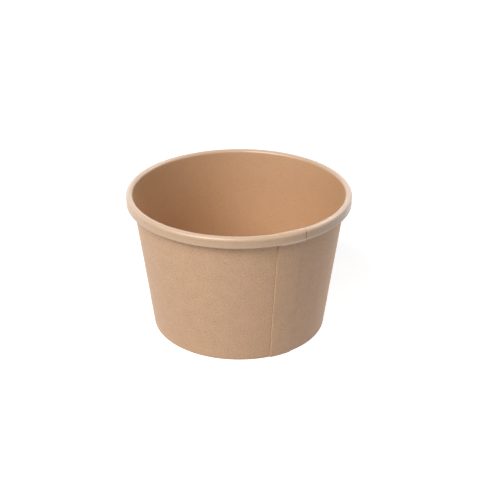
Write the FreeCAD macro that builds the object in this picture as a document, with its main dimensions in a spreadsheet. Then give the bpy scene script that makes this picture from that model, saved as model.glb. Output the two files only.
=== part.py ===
"""A paper ice cream tub: one wrapped kraft board side wall and one pressed board base.

The side wall is a single fan-shaped sheet. It is wrapped until its ends lap, its top edge is
rolled outwards into the rim and its foot is folded inwards round the skirt of the base.
Millimetres, +Z up, the origin in the middle of the foot on the surface that the tub stands on.
The front of the tub is -Y. Angles round the tub run anticlockwise from +X, seen from above.
"""
import FreeCAD, Part
import math
import os
import re
import Sketcher

os.makedirs("parts", exist_ok=True)

SIZES = {
    "rim_diameter": 95.0,       # over the outside of the rolled rim
    "tub_height": 61.0,         # foot to the top of the rim
    "foot_diameter": 75.0,      # where the line of the wall meets the surface below
    "rim_width": 2.9,           # across the roll
    "rim_height": 4.9,          # down the outside of the roll
    "lip_radius": 0.85,         # bend under the outside of the roll
    "curl_lean": 20.0,          # lean of the tucked edge towards the wall, in degrees
    "curl_gap": 0.12,           # between the tucked edge and the wall
    "side_board": 0.4,          # thickness of the side wall's board
    "base_board": 0.35,         # thickness of the base's board
    "base_rise": 6.5,           # top of the base above the foot
    "base_bend": 0.9,           # bend from the base down into its skirt
    "skirt_foot": 0.9,          # lower edge of the skirt above the foot
    "hem_height": 5.5,          # folded hem, up from the foot
    "fold_radius": 0.48,        # outside of the two bends of the hem
    "glue_line": 0.03,          # between the skirt and the board on each side of it
    "seam_angle": 290.0,        # free edge on the outside of the wall
    "lap_angle": 13.1,          # how far one end of the sheet covers the other
    "ramp_angle": 3.0,          # over which the covering ply comes down to the wall again
    "feather_edge": 0.05,       # thickness that the covering ply is left with at its thin end
}

# A bend is drawn as this many flats between points on its true arc, and the bends closed in
# the roll as fewer. On the roll's top they leave the arc by 0.05 mm at most.
ROLL_FLATS = 6
INNER_ROLL_FLATS = 3
LIP_FLATS = 3
INNER_LIP_FLATS = 2
FOLD_FLATS = 1
BASE_FLATS = 2

doc = FreeCAD.newDocument("ice_cream_tub")
sheet = doc.addObject("Spreadsheet::Sheet", "Dimensions")
for row, (name, value) in enumerate(SIZES.items(), start=1):
    sheet.set(f"A{row}", name)
    sheet.set(f"B{row}", str(value))
    sheet.setAlias(f"B{row}", name)
doc.recompute()


def tied(text):
    """An expression with the sheet named before each of its dimensions."""
    return re.sub(r"[a-z]+_[a-z]+", r"Dimensions.\g<0>", text)


def size(text):
    """The value of a dimension, or of an expression made of them."""
    return float(sheet.evalExpression(tied(text)))


# The wall leans out from the foot circle until it touches the inner arc of the roll.
ROLL_RUN = "((rim_diameter - rim_width - foot_diameter) / 2)"
ROLL_RISE = "(tub_height - rim_width / 2)"
TAPER = (f"(acos((rim_width / 2 - side_board) / hypot({ROLL_RUN}; {ROLL_RISE}))"
         f" - atan2({ROLL_RISE}; {ROLL_RUN}))")
POCKET = "(base_board + 2 * glue_line)"
LIP_RISE = "(tub_height - rim_height + lip_radius)"
COVERED_END = "(seam_angle + lap_angle)"
# A cut at the thin end of the covering ply runs on a little past that end.
CUT_TURN = "(1.05 * ramp_angle)"

taper = math.radians(size(TAPER))
board = size("side_board")
fold = size("fold_radius")
pocket = size(POCKET)
roll = size("rim_width / 2")
lip = size("lip_radius")
rim = size("rim_diameter / 2")
roll_top = size(ROLL_RISE)
lip_rise = size(LIP_RISE)
over = math.pi - taper
down = -math.pi / 2


def at_wall(offset, height):
    """The point at a height, out from the outer face of the wall by an offset square to it."""
    reach = size("foot_diameter / 2") + height * math.tan(taper) + offset / math.cos(taper)
    return (reach, height)


def around(arc, angle):
    """The point at an angle in radians on an arc, given as its centre and radius."""
    (x, y), radius = arc
    return (x + radius * math.cos(angle), y + radius * math.sin(angle))


def profile(body, name, turn=""):
    """A sketch that stands on the axis, X outwards and Y up, turned about Z by an expression."""
    sketch = body.newObject("Sketcher::SketchObject", name)
    plane = next(f for f in body.Origin.OriginFeatures if f.Role == "XZ_Plane")
    sketch.AttachmentSupport = [(plane, "")]
    sketch.MapMode = "FlatFace"
    if turn:
        upright = FreeCAD.Rotation(FreeCAD.Vector(0, 1, 0), 1)
        sketch.AttachmentOffset = FreeCAD.Placement(FreeCAD.Vector(), upright)
        sketch.setExpression("AttachmentOffset.Rotation.Angle", tied(turn))
    return sketch


def draw(sketch, edges):
    """Draws a closed outline and joins each edge to the next.

    A line is (start, end). A bend is (centre, radius, from, to, flats), its angles in radians,
    and turns clockwise where the second angle is the smaller. Its arc is a guide that touches
    the lines beside it, and the outline follows equal flats between points on that arc.
    Returns the numbers of the lines and of the guide arcs, in the order of the edges.
    """
    spans = []
    for edge in edges:
        if len(edge) == 2:
            start, end = (FreeCAD.Vector(*point, 0) for point in edge)
            index = sketch.addGeometry(Part.LineSegment(start, end), False)
            spans.append(((index, 1), (index, 2), (index, 1), (index, 2), False))
            continue
        centre, radius, first, last, flats = edge
        flats = round(flats)
        circle = Part.Circle(FreeCAD.Vector(*centre, 0), FreeCAD.Vector(0, 0, 1), radius)
        arc = Part.ArcOfCircle(circle, min(first, last), max(first, last))
        guide = sketch.addGeometry(arc, True)
        turns = [first + (last - first) * step / flats for step in range(flats + 1)]
        points = [FreeCAD.Vector(*around((centre, radius), turn), 0) for turn in turns]
        chords = [sketch.addGeometry(Part.LineSegment(*pair), False)
                  for pair in zip(points, points[1:])]
        for chord, after in zip(chords, chords[1:]):
            join(sketch, "Coincident", chord, 2, after, 1)
            join(sketch, "PointOnObject", chord, 2, guide)
            join(sketch, "Equal", chord, after)
        near, far = (1, 2) if last > first else (2, 1)
        join(sketch, "Coincident", chords[0], 1, guide, near)
        join(sketch, "Coincident", chords[-1], 2, guide, far)
        spans.append(((chords[0], 1), (chords[-1], 2), (guide, near), (guide, far), True))
    for here, after in zip(spans, spans[1:] + spans[:1]):
        if here[4] or after[4]:
            join(sketch, "Tangent", *here[3], *after[2])
        else:
            join(sketch, "Coincident", *here[1], *after[0])
    return [span[2][0] for span in spans]


def join(sketch, kind, *where):
    """Adds a constraint that has no size."""
    sketch.addConstraint(Sketcher.Constraint(kind, *where))


def bind(sketch, name, text, kind, *where):
    """Adds a named dimension to a sketch and ties it to the sheet."""
    value = math.radians(size(text)) if kind == "Angle" else size(text)
    index = sketch.addConstraint(Sketcher.Constraint(kind, *where, value))
    sketch.renameConstraint(index, name)
    sketch.setExpression(f"Constraints.{name}", tied(text))


def stand(sketch, name, edge, offset, way=""):
    """Lays an edge out from the outer face of the wall by an offset square to it.

    Where the edge is given a way, up or down, it is also turned parallel to the wall.
    """
    reach = f"foot_diameter / 2 + ({offset}) / cos({TAPER})"
    foot = sketch.addGeometry(Part.Point(FreeCAD.Vector(size(reach), 0, 0)), True)
    join(sketch, "PointOnObject", foot, 1, -1)
    bind(sketch, f"{name}_reach", reach, "DistanceX", foot, 1)
    join(sketch, "PointOnObject", foot, 1, edge)
    if way:
        upright = {"up": "90 deg", "down": "-90 deg"}[way]
        bind(sketch, f"{name}_lean", f"{upright} - {TAPER}", "Angle", edge)


def revolve(body, name, sketch, angle, about=None, cut=False):
    """Turns a profile about the axis of the tub, or about a line beside that axis."""
    feature = body.newObject("PartDesign::Groove" if cut else "PartDesign::Revolution", name)
    feature.Profile = sketch
    feature.ReferenceAxis = (about, [""]) if about else (sketch, ["V_Axis"])
    feature.setExpression("Angle", tied(angle))
    return feature


def sheet_section(body):
    """The section of the sheet: hem, foot fold, wall, roll and the edge tucked into the roll.

    It goes down the hem, up the outer face of the sheet to the tucked edge, and back along
    the inner face.
    """
    heel = at_wall(-fold, fold)
    toe = at_wall(fold - 2 * board - pocket, fold)
    crown = (rim - roll, roll_top)
    lower = (rim - lip, lip_rise)
    tuck = math.radians(size("curl_lean")) - math.pi
    hem_foot = around((toe, fold), over)
    hem_top = at_wall(-2 * board - pocket, size("hem_height"))
    corner = at_wall(-board, board)
    inner_corner = at_wall(-board - pocket, board)
    across = (board * math.cos(taper), -board * math.sin(taper))
    hem_edge = (hem_top[0] + across[0], hem_top[1] + across[1])
    tuck_in = around((lower, lip), tuck)
    tuck_out = around((lower, lip - board), tuck)
    spare = ((tuck_in[0] - size("foot_diameter / 2")) * math.cos(taper)
             - tuck_in[1] * math.sin(taper) - size("curl_gap"))
    reach = spare / math.sin(taper + math.radians(size("curl_lean")))
    end_in = around((tuck_in, reach), tuck - math.pi / 2)
    end_out = around((tuck_out, reach), tuck - math.pi / 2)
    sketch = profile(body, "sheet_section")
    edges = {
        "hem_out": (hem_top, hem_foot),
        "toe": (toe, fold, over, 3 * math.pi / 2, FOLD_FLATS),
        "foot": ((toe[0], 0), (heel[0], 0)),
        "heel": (heel, fold, down, -taper, FOLD_FLATS),
        "wall_out": (around((heel, fold), -taper), around((crown, roll - board), over)),
        "roll_in": (crown, roll - board, over, 0, INNER_ROLL_FLATS),
        "rim_in": ((rim - board, roll_top), (rim - board, lip_rise)),
        "lip_in": (lower, lip - board, 0, tuck, INNER_LIP_FLATS),
        "tuck_out": (tuck_out, end_out),
        "tuck_end": (end_out, end_in),
        "tuck_in": (end_in, tuck_in),
        "lip_out": (lower, lip, tuck, 0, LIP_FLATS),
        "rim_out": ((rim, lip_rise), (rim, roll_top)),
        "roll_out": (crown, roll, 0, over, ROLL_FLATS),
        "wall_in": (around((crown, roll), over), corner),
        "floor": (corner, inner_corner),
        "hem_in": (inner_corner, hem_edge),
        "hem_end": (hem_edge, hem_top),
    }
    edge = dict(zip(edges, draw(sketch, list(edges.values()))))
    join(sketch, "Coincident", edge["roll_out"], 3, edge["roll_in"], 3)
    join(sketch, "Coincident", edge["lip_out"], 3, edge["lip_in"], 3)
    join(sketch, "Perpendicular", edge["tuck_out"], edge["tuck_end"])
    join(sketch, "Perpendicular", edge["tuck_end"], edge["tuck_in"])
    join(sketch, "Perpendicular", edge["hem_in"], edge["hem_end"])
    join(sketch, "Parallel", edge["hem_out"], edge["wall_out"])
    join(sketch, "Parallel", edge["hem_in"], edge["wall_out"])
    join(sketch, "Horizontal", edge["floor"])
    join(sketch, "Vertical", edge["rim_out"])
    join(sketch, "PointOnObject", edge["foot"], 1, -1)
    join(sketch, "PointOnObject", edge["foot"], 2, -1)
    join(sketch, "Equal", edge["toe"], edge["heel"])
    bind(sketch, "fold", "fold_radius", "Radius", edge["heel"])
    bind(sketch, "roll_outside", "rim_width / 2", "Radius", edge["roll_out"])
    bind(sketch, "roll_inside", "rim_width / 2 - side_board", "Radius", edge["roll_in"])
    bind(sketch, "lip_outside", "lip_radius", "Radius", edge["lip_out"])
    bind(sketch, "lip_inside", "lip_radius - side_board", "Radius", edge["lip_in"])
    bind(sketch, "rim_reach", "rim_diameter / 2", "DistanceX", edge["rim_out"], 1)
    bind(sketch, "roll_height", ROLL_RISE, "DistanceY", edge["roll_out"], 3)
    bind(sketch, "lip_height", LIP_RISE, "DistanceY", edge["lip_out"], 3)
    bind(sketch, "floor_height", "side_board", "DistanceY", edge["floor"], 1)
    bind(sketch, "hem_top", "hem_height", "DistanceY", edge["hem_out"], 1)
    bind(sketch, "pocket", POCKET, "Distance", edge["hem_in"], 1, edge["wall_in"])
    bind(sketch, "hem_board", "side_board", "Distance", edge["hem_in"], 1, edge["hem_out"])
    bind(sketch, "tuck_lean", "90 deg + curl_lean * 1 deg", "Angle", edge["tuck_out"])
    bind(sketch, "tuck_gap", "curl_gap", "Distance", edge["tuck_in"], 1, edge["wall_out"])
    stand(sketch, "wall", edge["wall_out"], "0")
    stand(sketch, "wall_inside", edge["wall_in"], "-side_board")
    return sketch


def ramp_line(body):
    """An upright line beside the axis, for the two faces of the ply where it comes down.

    What is turned about it by the ramp angle, on from the covered end, moves in by one board.
    """
    line = body.newObject("PartDesign::Line", "ramp_line")
    aside = "side_board / sin(ramp_angle * 1 deg)"
    line.setExpression("Placement.Base.x", tied(f"{aside} * sin({COVERED_END} * 1 deg)"))
    line.setExpression("Placement.Base.y", tied(f"-{aside} * cos({COVERED_END} * 1 deg)"))
    return line


def lap_section(body):
    """The section of the covering ply, on the outside of the wall from the roll to the foot.

    It reaches in to the middle of the board under it, so that the two are one solid.
    """
    bend = at_wall(board - fold, fold)
    low_in = at_wall(-board / 2, fold)
    top_in = at_wall(-board / 2, roll_top)
    top_out = at_wall(board, roll_top)
    sketch = profile(body, "lap_section", "seam_angle")
    edges = draw(sketch, [
        (around((bend, fold), -taper), top_out),
        (top_out, top_in),
        (top_in, low_in),
        (low_in, (low_in[0], 0)),
        ((low_in[0], 0), (bend[0], 0)),
        (bend, fold, down, -taper, FOLD_FLATS),
    ])
    outer, top, inner, side, foot, heel = edges
    join(sketch, "Horizontal", top)
    join(sketch, "Vertical", side)
    join(sketch, "PointOnObject", foot, 1, -1)
    join(sketch, "PointOnObject", foot, 2, -1)
    bind(sketch, "fold", "fold_radius", "Radius", heel)
    bind(sketch, "top", ROLL_RISE, "DistanceY", top, 2)
    bind(sketch, "bottom", "fold_radius", "DistanceY", side, 1)
    stand(sketch, "inner", inner, "-side_board / 2", "down")
    stand(sketch, "outer", outer, "side_board", "up")
    return sketch


def strip_section(body, name, outer, inner, low, high):
    """A strip parallel to the wall, between two offsets from it and two heights."""
    corners = [at_wall(size(outer), size(low)), at_wall(size(outer), size(high)),
               at_wall(size(inner), size(high)), at_wall(size(inner), size(low))]
    sketch = profile(body, name, COVERED_END)
    front, top, back, bottom = draw(sketch, list(zip(corners, corners[1:] + corners[:1])))
    join(sketch, "Horizontal", top)
    join(sketch, "Horizontal", bottom)
    bind(sketch, "bottom", low, "DistanceY", front, 1)
    bind(sketch, "top", high, "DistanceY", front, 2)
    stand(sketch, "front", front, outer, "up")
    stand(sketch, "back", back, inner, "down")
    return sketch


def side_wall():
    """The wrapped sheet: a plain ring of its section, then the seam where its ends lap.

    The outer end covers the inner one. Past the covered end it comes down to the wall again,
    and the step that it leaves on the inside of the tub closes over the same turn.
    """
    body = doc.addObject("PartDesign::Body", "side_wall")
    body.Label = "side_wall"
    revolve(body, "wrapped_sheet", sheet_section(body), "360")
    revolve(body, "lap", lap_section(body), "lap_angle + ramp_angle")
    line = ramp_line(body)
    above = strip_section(body, "ramp_section", "3 * side_board", "side_board + feather_edge",
                          "0", LIP_RISE)
    revolve(body, "ramp", above, CUT_TURN, about=line, cut=True)
    below = strip_section(body, "inner_edge_section", "0", "-2 * side_board",
                          "skirt_foot", "tub_height - rim_width")
    revolve(body, "inner_edge", below, CUT_TURN, about=line, cut=True)
    return body


def base_disc():
    """The base: a flat round of board pressed down at its edge into a skirt."""
    body = doc.addObject("PartDesign::Body", "base_disc")
    body.Label = "base_disc"
    thick = size("base_board")
    top = size("base_rise")
    bend = size("base_bend")
    glued = board + size("glue_line")
    centre = at_wall(-glued - bend, top - bend)
    low_out = at_wall(-glued, size("skirt_foot"))
    low_in = (low_out[0] - thick * math.cos(taper), low_out[1] + thick * math.sin(taper))
    sketch = profile(body, "base_section")
    edges = {
        "top": ((0, top), (centre[0], top)),
        "bend_out": (centre, bend, math.pi / 2, -taper, BASE_FLATS),
        "skirt_out": (around((centre, bend), -taper), low_out),
        "skirt_end": (low_out, low_in),
        "skirt_in": (low_in, around((centre, bend - thick), -taper)),
        "bend_in": (centre, bend - thick, -taper, math.pi / 2, BASE_FLATS),
        "under": ((centre[0], top - thick), (0, top - thick)),
        "axis": ((0, top - thick), (0, top)),
    }
    edge = dict(zip(edges, draw(sketch, list(edges.values()))))
    join(sketch, "Coincident", edge["bend_out"], 3, edge["bend_in"], 3)
    join(sketch, "Horizontal", edge["top"])
    join(sketch, "Horizontal", edge["under"])
    join(sketch, "PointOnObject", edge["top"], 1, -2)
    join(sketch, "PointOnObject", edge["under"], 2, -2)
    join(sketch, "Perpendicular", edge["skirt_out"], edge["skirt_end"])
    join(sketch, "Parallel", edge["skirt_out"], edge["skirt_in"])
    bind(sketch, "bend_outside", "base_bend", "Radius", edge["bend_out"])
    bind(sketch, "bend_inside", "base_bend - base_board", "Radius", edge["bend_in"])
    bind(sketch, "top", "base_rise", "DistanceY", edge["top"], 1)
    bind(sketch, "foot", "skirt_foot", "DistanceY", edge["skirt_out"], 2)
    stand(sketch, "skirt", edge["skirt_out"], "-side_board - glue_line", "down")
    revolve(body, "pressed_base", sketch, "360")
    return body


bodies = [side_wall(), base_disc()]
doc.recompute()

for item in doc.Objects:
    if "Invalid" in item.State or "Error" in item.State:
        raise SystemExit(f"{item.Label} was not made: {item.State}")
for body in bodies:
    if body.Shape.isNull() or not body.Shape.isValid():
        raise SystemExit(f"{body.Label} has no sound shape")
    body.Shape.exportStep(f"parts/{body.Label}.step")
    print(body.Label, len(body.Shape.Solids), "solid", round(body.Shape.Volume, 1), "mm3")
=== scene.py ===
import bpy
import numpy as np
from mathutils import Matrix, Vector


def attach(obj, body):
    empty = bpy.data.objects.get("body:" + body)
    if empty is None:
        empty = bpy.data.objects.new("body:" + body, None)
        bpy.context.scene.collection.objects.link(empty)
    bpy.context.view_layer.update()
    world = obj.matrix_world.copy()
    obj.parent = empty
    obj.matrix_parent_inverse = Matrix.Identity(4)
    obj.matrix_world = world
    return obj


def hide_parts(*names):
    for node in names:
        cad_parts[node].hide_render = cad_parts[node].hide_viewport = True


# Paper ice cream tub
# A fan of kraft board is wrapped into a cone, its top edge is rolled out into the rim, and its
# foot is folded in round the skirt of a pressed board base. Everything is in metres.

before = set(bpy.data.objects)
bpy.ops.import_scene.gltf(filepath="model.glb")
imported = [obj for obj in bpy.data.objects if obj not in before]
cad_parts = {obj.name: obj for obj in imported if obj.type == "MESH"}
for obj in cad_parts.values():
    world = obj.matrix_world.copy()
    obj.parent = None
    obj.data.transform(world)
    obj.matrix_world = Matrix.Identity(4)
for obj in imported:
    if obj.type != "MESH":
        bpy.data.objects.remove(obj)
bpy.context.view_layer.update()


# Side wall
# One sheet of 0.4 mm board, lined on the face that turns inwards. Its ends lap at the seam,
# right of the front, and are glued; then the rim is curled and the foot folded on formers.

MM = 0.001
BOARD = 0.4 * MM
FOOT_REACH = 37.5 * MM
RIM_REACH = 47.5 * MM
HEIGHT = 61.0 * MM
ROLL = 1.45 * MM
LIP = 0.85 * MM
LIP_RISE = 56.95 * MM
TUCK_LEAN = np.radians(20.0)
TUCK_GAP = 0.12 * MM
CREASE = 0.08 * MM
POCKET = 0.41 * MM
HEM_HEIGHT = 5.5 * MM
SEAM = np.radians(290.0)
COVERED_END = np.radians(303.1)
RAMP = np.radians(3.0)
SWELL = 0.2 * MM
NOTCH_DEPTH = 0.30 * MM
CREASE_AT = 56.75 * MM
CREASE_PROUD = 0.08 * MM
PRINT_THROUGH = 0.07 * MM
WAVER = 0.09 * MM
RIM_WAVER = 0.05 * MM

crown = np.array([RIM_REACH - ROLL, HEIGHT - ROLL])
lower = np.array([RIM_REACH - LIP, LIP_RISE])
run = crown[0] - FOOT_REACH
taper = np.arccos((ROLL - BOARD) / np.hypot(run, crown[1])) - np.arctan2(crown[1], run)


def at_wall(offset, height):
    """The point of the section at a height, out from the wall's outer face by an offset."""
    return np.array([FOOT_REACH + height * np.tan(taper) + offset / np.cos(taper), height])


def bend(centre, radius, start, end, count, inwards):
    """Points of a bend and the unit vectors square to the sheet, pointing from the lined face.

    point = centre + radius (cos a, sin a) for equal steps of a. The vectors are the same
    (cos a, sin a), or their opposites where the lined face is on the outside of the bend.
    """
    turn = np.linspace(start, end, count)
    out = np.stack([np.cos(turn), np.sin(turn)], axis=1)
    return centre + radius * out, -out if inwards else out


def flat(start, end, way, count):
    """Points in equal steps from start to end, all with the same unit vector square to them."""
    steps = np.linspace(0.0, 1.0, count)[:, None]
    return start + steps * (end - start), np.tile(way, (count, 1))


def lined_face(counts):
    """The lined face of the sheet in section, from the hem's edge to the edge in the roll.

    It is a chain of flats and bends: hem, toe, foot, heel, wall, roll, leg, lip, tucked edge.
    Each is given its own number of points. Returns points, square vectors and the part index.
    """
    square = np.array([np.cos(taper), -np.sin(taper)])
    heel = at_wall(-BOARD - CREASE, BOARD + CREASE)
    toe = at_wall(CREASE - BOARD - POCKET, BOARD + CREASE)
    over = np.pi - taper
    tuck = TUCK_LEAN - np.pi
    tuck_out = np.array([np.cos(tuck), np.sin(tuck)])
    tuck_way = np.array([np.sin(tuck), -np.cos(tuck)])
    tuck_start = lower + LIP * tuck_out
    spare = (tuck_start[0] - FOOT_REACH) * np.cos(taper) - tuck_start[1] * np.sin(taper) - TUCK_GAP
    reach = spare / np.sin(taper + TUCK_LEAN)
    hem_edge = at_wall(-BOARD - POCKET, HEM_HEIGHT)
    pieces = [
        flat(hem_edge, toe - CREASE * square, -square, counts[0]),
        bend(toe, CREASE, over, 1.5 * np.pi, counts[1], False),
        flat(toe - [0, CREASE], heel - [0, CREASE], [0, -1], counts[2]),
        bend(heel, CREASE, -0.5 * np.pi, -taper, counts[3], False),
        flat(heel + CREASE * square, crown - ROLL * square, square, counts[4]),
        bend(crown, ROLL, over, 0, counts[5], True),
        flat(crown + [ROLL, 0], lower + [LIP, 0], [-1, 0], counts[6]),
        bend(lower, LIP, 0, tuck, counts[7], True),
        flat(tuck_start, tuck_start + reach * tuck_way, -tuck_out, counts[8]),
    ]
    # Each part leaves out its first point, which is the last point of the part before it.
    points = np.concatenate([pieces[0][0]] + [piece[0][1:] for piece in pieces[1:]])
    square_to = np.concatenate([pieces[0][1]] + [piece[1][1:] for piece in pieces[1:]])
    part = np.repeat(np.arange(9), [counts[0]] + [count - 1 for count in counts[1:]])
    return points, square_to, part


HEM, TOE, FOOT, HEEL, WALL, CURL, LEG, UNDER, TUCKED = range(9)
LINED_COUNTS = [4, 5, 3, 5, 30, 30, 9, 14, 4]
PLAIN_COUNTS = [4, 9, 3, 9, 30, 9, 2, 6, 3]
lined, lined_square, lined_part = lined_face(LINED_COUNTS)
plain, plain_square, plain_part = lined_face(PLAIN_COUNTS)
plain = plain + BOARD * plain_square

# Columns round the tub stand 0.75 degrees apart, and closer beside the two cut ends. The step
# at the covered end, the cut end at the seam and the notch in the roll are this wide.
STEP_GAP = np.radians(0.035)
SEAM_CUT = np.radians(0.28)
NOTCH = np.radians(0.45)
around = np.radians(np.arange(0.0, 360.0, 0.75))
near = np.radians([-1.2, -0.9, -0.75, -0.45, -0.32, -0.22, -0.14, -0.06,
                   0.13, 0.24, 0.42, 0.75, 0.9])
ends = np.concatenate([end + near for end in (SEAM, COVERED_END)])
sides = [SEAM, SEAM + SEAM_CUT, COVERED_END, COVERED_END + STEP_GAP, COVERED_END + NOTCH]
clear = [np.min(np.abs(np.array(sides) - angle)) > np.radians(0.05) for angle in around]
turn = np.unique(np.round(np.concatenate([around[clear], ends, sides]), 8))


def ease(value, start, end):
    """0 before start and 1 after end, with the smooth step 3 x^2 - 2 x^3 between them."""
    x = np.clip((value - start) / (end - start), 0.0, 1.0)
    return x * x * (3.0 - 2.0 * x)


def waver(angle, height):
    """The slight unevenness of a formed paper cone, as a number from about -1 to 1.

    It is a sum of four slow sine waves round the tub whose phase drifts with the height.
    """
    wave = 0.45 * np.sin(2 * angle + 0.7 + 18 * height)
    wave = wave + 0.30 * np.sin(3 * angle + 2.1 - 25 * height)
    wave = wave + 0.18 * np.sin(5 * angle + 4.0 + 40 * height)
    wave = wave + 0.12 * np.sin(9 * angle + 1.3 - 70 * height)
    return wave


def ring_faces(rows, columns):
    """Quads of a closed grid: corner (i, j) to (i, j + 1), (i + 1, j + 1) and (i + 1, j)."""
    row, column = np.meshgrid(np.arange(rows), np.arange(columns), indexing="ij")
    below, right = (row + 1) % rows, (column + 1) % columns
    corners = [row * columns + column, row * columns + right,
               below * columns + right, below * columns + column]
    return np.stack(corners, axis=-1).reshape(-1, 4)


def new_mesh(name, points, faces, finishes, finish_of_face, sharp_over):
    """A mesh object from arrays of points and faces, linked, smooth, with its sharp edges."""
    mesh = bpy.data.meshes.new(name)
    mesh.from_pydata(points.reshape(-1, 3), [], faces)
    for finish in finishes:
        mesh.materials.append(finish)
    mesh.polygons.foreach_set("material_index", finish_of_face)
    mesh.shade_smooth()
    mesh.set_sharp_from_angle(angle=np.radians(sharp_over))
    mesh.update()
    piece = bpy.data.objects.new(name, mesh)
    bpy.context.scene.collection.objects.link(piece)
    return piece


def lay_flat(piece, turn, run_along, starts, mean_reach):
    """The UV map "sheet": each face's place on the sheet before it was wrapped, in metres.

    Across is the angle on from the row's start, times the mean reach; along is the run of the
    section. Corners follow the order of ring_faces, so no face spans the whole map.
    """
    step = np.mod(np.roll(turn, -1) - turn, 2.0 * np.pi)
    left = np.mod(turn[None, :] - starts[:, None] + 1e-7, 2.0 * np.pi)
    right = left + step[None, :]
    here = np.repeat(run_along[:, None], len(turn), axis=1)
    there = np.repeat(np.roll(run_along, -1)[:, None], len(turn), axis=1)
    across = np.stack([left, right, right, left], axis=-1) * mean_reach
    along = np.stack([here, here, there, there], axis=-1)
    uv = np.stack([across, along], axis=-1)
    piece.data.uv_layers.new(name="sheet").data.foreach_set("uv", uv.ravel())


# Where the plies lap, the outer end stands one board further out and its cut end faces left.
# Past the covered end it comes down to the cone again over the next three degrees. Its end
# lifts a little, and the sheet just left of it is pressed in.
angle = turn[None, :]
lapped = (angle > SEAM + 0.9 * SEAM_CUT) * (1.0 - ease(angle, COVERED_END, COVERED_END + RAMP))
beside = np.exp(-np.clip(SEAM - angle, 0, None) / np.radians(0.26)) * (angle <= SEAM)
lift = 1.0 + 0.15 * np.exp(-np.abs(angle - SEAM) / np.radians(1.2))

# The second board goes outwards on the wall and inwards on the hem, and changes over under
# the foot.
plain_way = np.select(
    [np.isin(plain_part, [HEM, TOE]), plain_part == FOOT, np.isin(plain_part, [HEEL, WALL])],
    [-1.0, 0.0, 1.0], 0.0)
plain_way[plain_part == FOOT] = np.linspace(-1.0, 1.0, np.sum(plain_part == FOOT) + 2)[1:-1]
plain_raise = lapped * lift * BOARD / np.cos(taper) - beside * 0.5 * BOARD
# The covered end prints through the outer ply as a faint ridge below the rim.
print_through = np.exp(-((angle - COVERED_END + np.radians(0.5)) / np.radians(0.55)) ** 2)
print_through = print_through * ease(plain[:, 1][:, None], 36 * MM, 50 * MM)
plain_raise = plain_raise + PRINT_THROUGH * print_through
plain_reach = plain[:, 0][:, None] + plain_way[:, None] * plain_raise

# Inside, the covered end stops in a step that faces right. On the roll the doubled board
# swells it by half a board, which dies out to the left of the seam.
hollow = 1.0 - ease(angle, COVERED_END, COVERED_END + RAMP)
hollow = hollow * (angle > COVERED_END + 0.5 * STEP_GAP)
swollen = (angle <= COVERED_END) * ease(angle, SEAM - np.radians(3.5), SEAM + np.radians(1.0))
on_roll = np.clip((lined[:, 1] - (HEIGHT - 4.0 * MM)) / (2.5 * MM), 0, 1)
on_roll = np.where(lined_part == WALL, on_roll, np.isin(lined_part, [CURL, LEG, UNDER]) * 1.0)
on_wall = (lined_part == WALL) * (1.0 - on_roll) * (lined[:, 1] > 1.0 * MM)
lined_in = on_wall[:, None] * hollow * BOARD / np.cos(taper)
lined_out = on_roll[:, None] * swollen * SWELL
# Where the covered end crosses the roll it leaves a narrow notch, deep on the outside of the
# roll but for one short bridge, and a third as deep elsewhere.
notch = (angle > COVERED_END + 0.5 * STEP_GAP) * (angle < COVERED_END + 0.95 * NOTCH)
lower_gap = (lined[:, 1] > 57.2 * MM) * (lined[:, 1] < 58.3 * MM)
upper_gap = (lined[:, 1] > 58.7 * MM) * (lined[:, 1] < 60.2 * MM)
gap_open = np.isin(lined_part, [CURL, LEG, UNDER]) & (lined[:, 0] > crown[0])
gap_open = gap_open & (lower_gap | upper_gap)
lined_out = lined_out - (on_roll * np.where(gap_open, 1.0, 1.0 / 3.0))[:, None] * notch * NOTCH_DEPTH
# The board turns under the rim in a crease that stands a hair proud of the leg above it.
crease_line = np.exp(-((lined[:, 1] - CREASE_AT) / (0.28 * MM)) ** 2) - 1.0
on_leg = np.isin(lined_part, [LEG, UNDER]) * ease(HEIGHT - lined[:, 1], ROLL, 2.5 * MM)
lined_out = lined_out + (CREASE_PROUD * on_leg * crease_line)[:, None]
lined_reach = lined[:, 0][:, None] + lined_in - lined_square[:, 0][:, None] * lined_out
lined_rise = lined[:, 1][:, None] - lined_square[:, 1][:, None] * lined_out

plain_rise = np.repeat(plain[:, 1][:, None], len(turn), axis=1)
reach = np.concatenate([lined_reach, plain_reach[::-1]])
rise = np.concatenate([lined_rise, plain_rise[::-1]])
# The formed sheet is a little uneven where neither the base nor the roll holds it true, and
# the top of the rim is not quite level.
free = ease(rise, 8 * MM, 20 * MM) * (1.0 - 0.75 * ease(rise, 48 * MM, 57 * MM))
reach = reach + WAVER * (waver(angle, rise) - 1.0) * free
rise = rise - RIM_WAVER * ease(rise, 55 * MM, HEIGHT) * (1.0 + np.sin(3 * angle + 1.0)) * 0.5
wall_points = np.stack([reach * np.cos(angle), reach * np.sin(angle), rise], axis=-1)

rows, columns = reach.shape
wall_faces = ring_faces(rows, columns)
# Each face takes its finish from its row in the section, which paints shade on the fold at the
# foot; the two cut ends, the notch with glue and painted shade, and the painted highlights on
# the lip and the crown then take theirs.
LINED_SIDE, PLAIN_SIDE, CUT_EDGE_AND_HIGHLIGHT, RIM_SIDE, GLUE_AND_SHADE_GAP, SHADED_FOLD, LIP_HIGHLIGHT = range(7)
lined_rows = np.where(lined_part[:-1] >= CURL, RIM_SIDE, LINED_SIDE)
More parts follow.
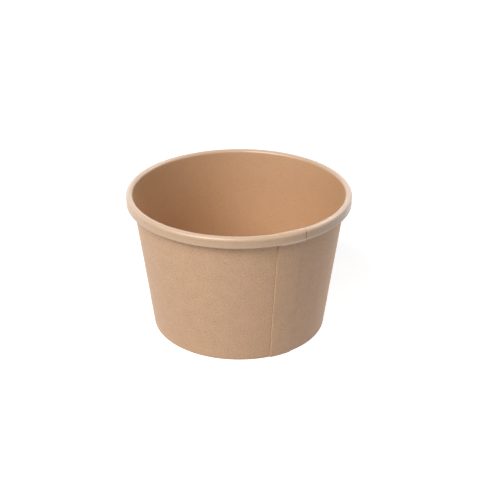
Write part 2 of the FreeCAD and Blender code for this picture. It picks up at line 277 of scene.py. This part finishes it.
# The heel and foot rows take painted shade along the fold.
plain_rows = np.where(np.isin(plain_part[::-1][:-1], [HEEL, FOOT]), SHADED_FOLD, PLAIN_SIDE)
row_finish = np.concatenate([lined_rows, [CUT_EDGE_AND_HIGHLIGHT], plain_rows, [CUT_EDGE_AND_HIGHLIGHT]])
face_finish = np.repeat(row_finish[:, None], columns, axis=1)
seam_column = int(np.argmin(np.abs(turn - SEAM)))
covered_column = int(np.argmin(np.abs(turn - COVERED_END)))
face_finish[len(lined):, seam_column] = CUT_EDGE_AND_HIGHLIGHT
face_finish[:len(lined), covered_column] = CUT_EDGE_AND_HIGHLIGHT
in_notch = (turn > COVERED_END + 0.5 * STEP_GAP) & (turn < COVERED_END + 0.95 * NOTCH)
# The deep part of the notch is painted dark, for the glue and for the shade in the recess.
face_finish[np.ix_(np.flatnonzero(gap_open), np.flatnonzero(in_notch))] = GLUE_AND_SHADE_GAP
# The lowest edge of the roll has a painted highlight, pale, from the seam round to the right.
lip_highlight_turn = (turn > SEAM + 0.9 * SEAM_CUT) | (turn < np.radians(45.0))
lip_rows = np.isin(lined_part, [LEG, UNDER]) & (lined[:, 0] > lower[0]) & (lined[:, 1] < 57.3 * MM)
face_finish[np.ix_(np.flatnonzero(lip_rows), np.flatnonzero(lip_highlight_turn))] = LIP_HIGHLIGHT
# Left of the notch the crown has a painted highlight, in the cut edge's pale finish, where the
# covered end raises it.
crown_highlight_turn = (turn > COVERED_END - np.radians(0.7)) & (turn < COVERED_END - np.radians(0.4))
crown_rows = (lined_part == CURL) & (lined[:, 0] > crown[0]) & (lined[:, 1] > 59.0 * MM)
face_finish[np.ix_(np.flatnonzero(crown_rows), np.flatnonzero(crown_highlight_turn))] = CUT_EDGE_AND_HIGHLIGHT


def cardboard_fibres():
    """The node group of the board's fibres: soft clouds, two kinds of fibre, specks and grain.

    Clouds are noise a few millimetres wide. Fibres are two finer noises, each a little drawn
    out and turned, that give the mottle of recycled pulp. A speck is a small dot in one cell
    of the sheet in four. The height is a mix of the fibres and the finer grain.
    """
    group = bpy.data.node_groups.new("cardboard fibres", "ShaderNodeTree")
    put = group.interface.new_socket
    put(name="Place", in_out="INPUT", socket_type="NodeSocketVector")
    put(name="Colour", in_out="INPUT", socket_type="NodeSocketColor")
    put(name="Dark Fibre", in_out="INPUT", socket_type="NodeSocketColor")
    put(name="Pale Fibre", in_out="INPUT", socket_type="NodeSocketColor")
    put(name="Mottle", in_out="INPUT", socket_type="NodeSocketFloat")
    put(name="Specks", in_out="INPUT", socket_type="NodeSocketFloat")
    put(name="Colour", in_out="OUTPUT", socket_type="NodeSocketColor")
    put(name="Height", in_out="OUTPUT", socket_type="NodeSocketFloat")
    put(name="Polish", in_out="OUTPUT", socket_type="NodeSocketFloat")
    nodes, links = group.nodes, group.links
    given = nodes.new("NodeGroupInput")
    made = nodes.new("NodeGroupOutput")

    def noise(scale, detail, stretch, slant=0.0, rough=0.55):
        """Noise on the sheet's place, stretched and turned by a mapping."""
        mapping = nodes.new("ShaderNodeMapping")
        mapping.inputs["Rotation"].default_value = (0.0, 0.0, slant)
        mapping.inputs["Scale"].default_value = stretch
        links.new(given.outputs["Place"], mapping.inputs["Vector"])
        texture = nodes.new("ShaderNodeTexNoise")
        texture.inputs["Scale"].default_value = scale
        texture.inputs["Detail"].default_value = detail
        texture.inputs["Roughness"].default_value = rough
        links.new(mapping.outputs["Vector"], texture.inputs["Vector"])
        return texture.outputs["Fac"]

    def spread(value, low, high, to_low, to_high):
        """The value's range from low to high, laid over another range and held at its ends."""
        remap = nodes.new("ShaderNodeMapRange")
        for socket, number in zip(("From Min", "From Max", "To Min", "To Max"),
                                  (low, high, to_low, to_high)):
            remap.inputs[socket].default_value = number
        links.new(value, remap.inputs["Value"])
        return remap.outputs["Result"]

    def combine(kind, first, second):
        """One of Blender's sums on two values, each a socket or a number."""
        sum_node = nodes.new("ShaderNodeMath")
        sum_node.operation = kind
        for socket, value in zip(sum_node.inputs, (first, second)):
            if isinstance(value, (int, float)):
                socket.default_value = value
            else:
                links.new(value, socket)
        return sum_node.outputs["Value"]

    def blend(share, first, second):
        """The first colour, with a share of the second over it."""
        mix = nodes.new("ShaderNodeMix")
        mix.data_type = "RGBA"
        links.new(share, mix.inputs["Factor"])
        links.new(first, mix.inputs["A"])
        links.new(second, mix.inputs["B"])
        return mix.outputs["Result"]

    clouds = noise(190.0, 3.0, (1.0, 1.0, 1.0))
    long_fibres = noise(1500.0, 4.0, (0.8, 1.0, 1.0), 0.12, 0.7)
    slanted_fibres = noise(2600.0, 3.0, (1.0, 0.6, 1.0), 1.0, 0.66)
    grain = noise(3600.0, 2.0, (1.0, 1.0, 1.0), 0.5, 0.6)
    cells = nodes.new("ShaderNodeTexVoronoi")
    cells.voronoi_dimensions = "2D"
    cells.inputs["Scale"].default_value = 210.0
    links.new(given.outputs["Place"], cells.inputs["Vector"])
    cell_colour = nodes.new("ShaderNodeSeparateColor")
    links.new(cells.outputs["Color"], cell_colour.inputs["Color"])

    fibres = combine("MULTIPLY", combine("ADD", long_fibres, slanted_fibres), 0.5)
    mottle, specks = given.outputs["Mottle"], given.outputs["Specks"]
    dark, pale = given.outputs["Dark Fibre"], given.outputs["Pale Fibre"]
    dark_share = combine("MULTIPLY", spread(fibres, 0.5, 0.36, 0.0, 1.0), mottle)
    pale_share = combine("MULTIPLY", spread(fibres, 0.52, 0.68, 0.0, 1.0), mottle)
    cloud_share = combine("MULTIPLY", spread(clouds, 0.35, 0.65, 0.0, 0.20), mottle)
    few = combine("GREATER_THAN", cell_colour.outputs["Red"], 0.72)
    speck_size = spread(cell_colour.outputs["Green"], 0.0, 1.0, 0.020, 0.055)
    dots = combine("LESS_THAN", cells.outputs["Distance"], speck_size)
    speck_share = combine("MULTIPLY", combine("MULTIPLY", few, dots), specks)
    grain_share = combine("MULTIPLY", spread(grain, 0.35, 0.65, 0.0, 0.40), mottle)
    colour = blend(cloud_share, given.outputs["Colour"], dark)
    colour = blend(dark_share, colour, dark)
    colour = blend(pale_share, colour, pale)
    colour = blend(grain_share, colour, dark)
    colour = blend(speck_share, colour, dark)
    links.new(colour, made.inputs["Colour"])
    height = combine("ADD", combine("MULTIPLY", fibres, 0.6), combine("MULTIPLY", grain, 0.4))
    links.new(height, made.inputs["Height"])
    links.new(spread(fibres, 0.35, 0.65, -0.04, 0.04), made.inputs["Polish"])
    return group


board_fibres = cardboard_fibres()


def board_finish(name, colour, dark, pale, mottle, specks, rough, sheen, relief, place="UV"):
    """A board's material: its fibres laid on the piece's UV map, or on Object coordinates.

    Mottle and specks are how strongly they show, sheen is the specular level and relief the
    strength of the bump.
    """
    finish = bpy.data.materials.new(name)
    finish.use_nodes = True
    nodes, links = finish.node_tree.nodes, finish.node_tree.links
    shader = nodes["Principled BSDF"]
    if place == "UV":
        source = nodes.new("ShaderNodeUVMap")
        source.uv_map = "sheet"
        where = source.outputs["UV"]
    else:
        where = nodes.new("ShaderNodeTexCoord").outputs["Object"]
    fibres = nodes.new("ShaderNodeGroup")
    fibres.node_tree = board_fibres
    links.new(where, fibres.inputs["Place"])
    fibres.inputs["Colour"].default_value = (*colour, 1.0)
    fibres.inputs["Dark Fibre"].default_value = (*dark, 1.0)
    fibres.inputs["Pale Fibre"].default_value = (*pale, 1.0)
    fibres.inputs["Mottle"].default_value = mottle
    fibres.inputs["Specks"].default_value = specks
    links.new(fibres.outputs["Colour"], shader.inputs["Base Color"])
    add = nodes.new("ShaderNodeMath")
    add.operation = "ADD"
    add.inputs[1].default_value = rough
    links.new(fibres.outputs["Polish"], add.inputs[0])
    links.new(add.outputs["Value"], shader.inputs["Roughness"])
    shader.inputs["Specular IOR Level"].default_value = sheen
    bump = nodes.new("ShaderNodeBump")
    bump.inputs["Strength"].default_value = relief
    bump.inputs["Distance"].default_value = 0.05 * MM
    links.new(fibres.outputs["Height"], bump.inputs["Height"])
    links.new(bump.outputs["Normal"], shader.inputs["Normal"])
    return finish


KRAFT = (0.590, 0.368, 0.219)
KRAFT_DARK = (0.33, 0.185, 0.10)
KRAFT_PALE = (0.66, 0.45, 0.31)
RIM = (0.520, 0.340, 0.210)
RIM_DARK = (0.34, 0.205, 0.12)
RIM_PALE = (0.62, 0.45, 0.31)
LINED = (0.545, 0.332, 0.185)
LINED_DARK = (0.36, 0.19, 0.09)
LINED_PALE = (0.68, 0.44, 0.27)
CUT_AND_HIGHLIGHT = (0.76, 0.58, 0.41)
CUT_AND_HIGHLIGHT_DARK = (0.52, 0.36, 0.22)
CUT_AND_HIGHLIGHT_PALE = (0.84, 0.70, 0.54)
GLUE_AND_SHADE = (0.17, 0.11, 0.07)
GLUE_AND_SHADE_DARK = (0.09, 0.055, 0.035)
GLUE_AND_SHADE_PALE = (0.30, 0.20, 0.13)
FOLD_SHADE_TINT = (0.53, 0.33, 0.196)
LIP_HIGHLIGHT_TINT = (0.62, 0.45, 0.325)
plain_kraft = board_finish("kraft board", KRAFT, KRAFT_DARK, KRAFT_PALE,
                           0.8, 1.0, 0.6, 0.7, 0.4)
lined_kraft = board_finish("lined kraft board", LINED, LINED_DARK, LINED_PALE,
                           0.42, 0.8, 0.42, 0.7, 0.15)
rim_kraft = board_finish("rolled kraft board", RIM, RIM_DARK, RIM_PALE,
                         0.42, 0.8, 0.34, 0.7, 0.12)
# This pale finish is the board's cut edge, and also a painted highlight on the crown.
cut_edge_and_highlight_kraft = board_finish("cut edge of kraft board and painted highlight", CUT_AND_HIGHLIGHT, CUT_AND_HIGHLIGHT_DARK, CUT_AND_HIGHLIGHT_PALE,
                         0.4, 0.2, 0.85, 0.2, 0.4)
# This dark colour is glue, and also painted shade in the notch.
glue_and_shade_kraft = board_finish("glue and painted shade in the lap of the rim", GLUE_AND_SHADE, GLUE_AND_SHADE_DARK, GLUE_AND_SHADE_PALE,
                          0.6, 0.0, 0.6, 0.3, 0.3)
# The fold at the foot is pressed hard and duller, and painted darker as shade along the foot's lower
# edge.
shaded_fold_kraft = board_finish("folded kraft board with painted shade", FOLD_SHADE_TINT, KRAFT_DARK, KRAFT,
                            0.6, 1.0, 0.75, 0.15, 0.3)
# The pale colour on the roll's lowest edge is a painted highlight.
lip_highlight_kraft = board_finish("kraft board with painted highlight", LIP_HIGHLIGHT_TINT, RIM, RIM_PALE,
                          0.42, 0.3, 0.45, 0.7, 0.12)

side_wall = new_mesh("kraft_side_wall", wall_points, wall_faces,
                     [lined_kraft, plain_kraft, cut_edge_and_highlight_kraft, rim_kraft, glue_and_shade_kraft, shaded_fold_kraft,
                      lip_highlight_kraft],
                     face_finish.ravel(), 35.0)
# On the map the plain face lies 150 mm beyond the lined one, clear of it.
lined_run = np.concatenate([[0.0], np.cumsum(np.hypot(*np.diff(lined, axis=0).T))])
plain_run = np.concatenate([[0.0], np.cumsum(np.hypot(*np.diff(plain, axis=0).T))])
run_along = np.concatenate([lined_run, plain_run[::-1] + 150 * MM])
starts = np.where(np.arange(rows) < len(lined), COVERED_END + 0.5 * STEP_GAP, SEAM)
lay_flat(side_wall, turn, run_along, starts, 0.5 * (FOOT_REACH + RIM_REACH))
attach(side_wall, "root")
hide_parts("side_wall")


# Base
# A round of 0.35 mm board, pressed down at its edge into a skirt that the wall's hem grips.
# The press leaves its middle a little hollow, and not quite evenly so.

BASE_BOARD = 0.35 * MM
BASE_RISE = 6.5 * MM
BASE_BEND = 0.9 * MM
SKIRT_FOOT = 0.9 * MM
GLUED = BOARD + 0.03 * MM
DISH = 0.12 * MM

base_centre = at_wall(-GLUED - BASE_BEND, BASE_RISE - BASE_BEND)
skirt_square = np.array([np.cos(taper), -np.sin(taper)])
skirt_end = at_wall(-GLUED, SKIRT_FOOT)
skirt_in = skirt_end - BASE_BOARD * skirt_square
disc_out = np.linspace(0.0, base_centre[0], 40)[1:]
top_points = np.stack([disc_out, np.full(len(disc_out), BASE_RISE)], axis=1)
outer_bend = bend(base_centre, BASE_BEND, 0.5 * np.pi, -taper, 12, False)[0][1:]
skirt_out = flat(outer_bend[-1], skirt_end, skirt_square, 6)[0][1:]
inner_bend = bend(base_centre, BASE_BEND - BASE_BOARD, -taper, 0.5 * np.pi, 10, False)[0]
skirt_back = flat(skirt_in, inner_bend[0], skirt_square, 6)[0]
under_points = np.stack([disc_out[::-1], np.full(len(disc_out), BASE_RISE - BASE_BOARD)], axis=1)[1:]
upper = np.concatenate([top_points, outer_bend, skirt_out])
section = np.concatenate([upper, skirt_back, inner_bend[1:], under_points])

base_turn = np.radians(np.arange(0.0, 360.0, 1.5))[None, :]
base_reach = np.repeat(section[:, 0][:, None], base_turn.shape[1], axis=1)
inside = 1.0 - ease(base_reach, 26 * MM, base_centre[0])
uneven = 1.0 + 0.4 * np.sin(2 * base_turn + 0.6) * base_reach / base_centre[0]
base_rise = section[:, 1][:, None] - DISH * inside * uneven
base_across = [base_reach * np.cos(base_turn), base_reach * np.sin(base_turn)]
base_points = np.stack(base_across + [base_rise], axis=-1)
base_columns = base_turn.shape[1]
base_rows = len(section)
# The section's two ends meet the axis in a pole each, not one another.
base_faces = ring_faces(base_rows, base_columns)[:(base_rows - 1) * base_columns]
poles = np.array([[0, 0, BASE_RISE - DISH], [0, 0, BASE_RISE - BASE_BOARD - DISH]])
base_all = np.concatenate([base_points.reshape(-1, 3), poles])
first = np.arange(base_columns)
after = (first + 1) % base_columns
last_row = (base_rows - 1) * base_columns
top_pole, under_pole = base_rows * base_columns, base_rows * base_columns + 1
top_fan = np.stack([np.full(base_columns, top_pole), after, first], axis=1)
under_fan = np.stack([np.full(base_columns, under_pole), last_row + first, last_row + after], axis=1)
all_faces = base_faces.tolist() + top_fan.tolist() + under_fan.tolist()

base_top = board_finish("lined base board", LINED, LINED_DARK, LINED_PALE,
                        0.42, 0.8, 0.45, 0.7, 0.15, "Object")
base_under = board_finish("base board", KRAFT, KRAFT_DARK, KRAFT_PALE,
                          0.6, 1.0, 0.65, 0.7, 0.3, "Object")
below = np.concatenate([np.repeat(np.arange(base_rows - 1) >= len(upper) - 1, base_columns),
                        np.zeros(base_columns, bool), np.ones(base_columns, bool)])
base_disc = new_mesh("kraft_base", base_all, all_faces, [base_top, base_under],
                     below.astype(np.int32), 40.0)
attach(base_disc, "root")
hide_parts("base_disc")


# Table and backdrop
# A plain white sweep that glows by itself to the camera and to reflections alone, and lights
# nothing. To the camera it is as white as paper, and it keeps a faint shadow.

WORLD_DIFFUSE = 0.0
WORLD_GLOSSY = 2.7
SWEEP_GLOW = 0.76
SWEEP_WHITE = (0.55, 0.55, 0.56, 1.0)
GLOW_NEAR = 0.3
GLOW_FAR = 1.6


def strength_by_ray(nodes, links, lit, mirrored, seen):
    """A strength that is one number to the camera, one to reflections and one to all else."""
    paths = nodes.new("ShaderNodeLightPath")
    value = lit
    for share, number in ((paths.outputs["Is Glossy Ray"], mirrored),
                          (paths.outputs["Is Camera Ray"], seen)):
        mix = nodes.new("ShaderNodeMix")
        mix.data_type = "FLOAT"
        links.new(share, mix.inputs["Factor"])
        mix.inputs["B"].default_value = number
        if isinstance(value, float):
            mix.inputs["A"].default_value = value
        else:
            links.new(value, mix.inputs["A"])
        value = mix.outputs["Result"]
    return value


HALF = 4.0
floor_mesh = bpy.data.meshes.new("studio_floor")
floor_mesh.from_pydata([(-HALF, -HALF, 0), (HALF, -HALF, 0), (HALF, HALF, 0), (-HALF, HALF, 0)],
                       [], [(0, 1, 2, 3)])
floor = bpy.data.objects.new("studio_floor", floor_mesh)
bpy.context.scene.collection.objects.link(floor)
sweep = bpy.data.materials.new("white sweep")
sweep.use_nodes = True
sweep_nodes, sweep_links = sweep.node_tree.nodes, sweep.node_tree.links
sweep_shader = sweep_nodes["Principled BSDF"]
sweep_shader.inputs["Base Color"].default_value = SWEEP_WHITE
sweep_shader.inputs["Roughness"].default_value = 0.9
sweep_shader.inputs["Specular IOR Level"].default_value = 0.1
glow = sweep_nodes.new("ShaderNodeEmission")
sweep_links.new(strength_by_ray(sweep_nodes, sweep_links, 0.0, 0.5 * WORLD_GLOSSY, 1.0),
                glow.inputs["Strength"])
# The lamps light the middle, so the glow there is a little less and lets the shadow show.
sweep_place = sweep_nodes.new("ShaderNodeTexCoord")
sweep_far = sweep_nodes.new("ShaderNodeVectorMath")
sweep_far.operation = "LENGTH"
sweep_fade = sweep_nodes.new("ShaderNodeMapRange")
for socket, number in (("From Min", GLOW_NEAR), ("From Max", GLOW_FAR),
                       ("To Min", SWEEP_GLOW), ("To Max", 1.0)):
    sweep_fade.inputs[socket].default_value = number
sweep_links.new(sweep_place.outputs["Object"], sweep_far.inputs[0])
sweep_links.new(sweep_far.outputs["Value"], sweep_fade.inputs["Value"])
sweep_tint = sweep_nodes.new("ShaderNodeCombineColor")
for channel in ("Red", "Green", "Blue"):
    sweep_links.new(sweep_fade.outputs["Result"], sweep_tint.inputs[channel])
sweep_links.new(sweep_tint.outputs["Color"], glow.inputs["Color"])
both = sweep_nodes.new("ShaderNodeAddShader")
sweep_links.new(sweep_shader.outputs["BSDF"], both.inputs[0])
sweep_links.new(glow.outputs["Emission"], both.inputs[1])
sweep_links.new(both.outputs["Shader"], sweep_nodes["Material Output"].inputs["Surface"])
floor_mesh.materials.append(sweep)

world = bpy.data.worlds.new("studio")
bpy.context.scene.world = world
world.use_nodes = True
backdrop = world.node_tree.nodes["Background"]
backdrop.inputs["Color"].default_value = (1.0, 1.0, 1.0, 1.0)
world_nodes, world_links = world.node_tree.nodes, world.node_tree.links
world_links.new(strength_by_ray(world_nodes, world_links, WORLD_DIFFUSE, WORLD_GLOSSY, 1.0),
                backdrop.inputs["Strength"])


# Lamps
# Four soft boxes high on the left in front make the main light, from the left round to the
# front. One behind on the right, and a weak one beside it, open the shaded sides.


def soft_box(name, place, side, power):
    """A square area lamp at a place, turned so that it faces the middle of the tub."""
    lamp = bpy.data.lights.new(name, "AREA")
    lamp.shape = "SQUARE"
    lamp.size = side
    lamp.energy = power
    stand = bpy.data.objects.new(name, lamp)
    stand.location = place
    stand.rotation_euler = (LIT_POINT - stand.location).to_track_quat("-Z", "Y").to_euler()
    bpy.context.scene.collection.objects.link(stand)


LIT_POINT = Vector((0.0, 0.0, 0.03))
soft_box("main_box", (-0.442, -0.632, 0.949), 0.4, 6.2)
soft_box("low_box", (-0.584, -0.834, 0.666), 0.4, 2.8)
soft_box("left_box", (-0.834, -0.521, 0.718), 0.4, 3.8)
soft_box("front_box", (-0.176, -0.830, 0.879), 0.4, 2.7)
soft_box("back_box", (0.650, 0.545, 0.879), 0.5, 5.0)
soft_box("right_box", (1.004, 0.269, 0.630), 0.5, 0.5)


# Camera
# It stands 44 cm from the middle of the tub and looks down on it at 26 degrees, through a
# short telephoto lens.

view = bpy.data.cameras.new("camera")
view.lens = 76.63
view.sensor_width = 36.0
view.clip_start = 0.01
camera = bpy.data.objects.new("camera", view)
camera.location = (0.4 * MM, -395.0 * MM, 232.4 * MM)
aim = Vector((0.4 * MM, 0.0, 36.93 * MM))
camera.rotation_euler = (aim - camera.location).to_track_quat("-Z", "Y").to_euler()
bpy.context.scene.collection.objects.link(camera)
bpy.context.scene.camera = camera
bpy.context.scene.view_settings.view_transform = "Standard"
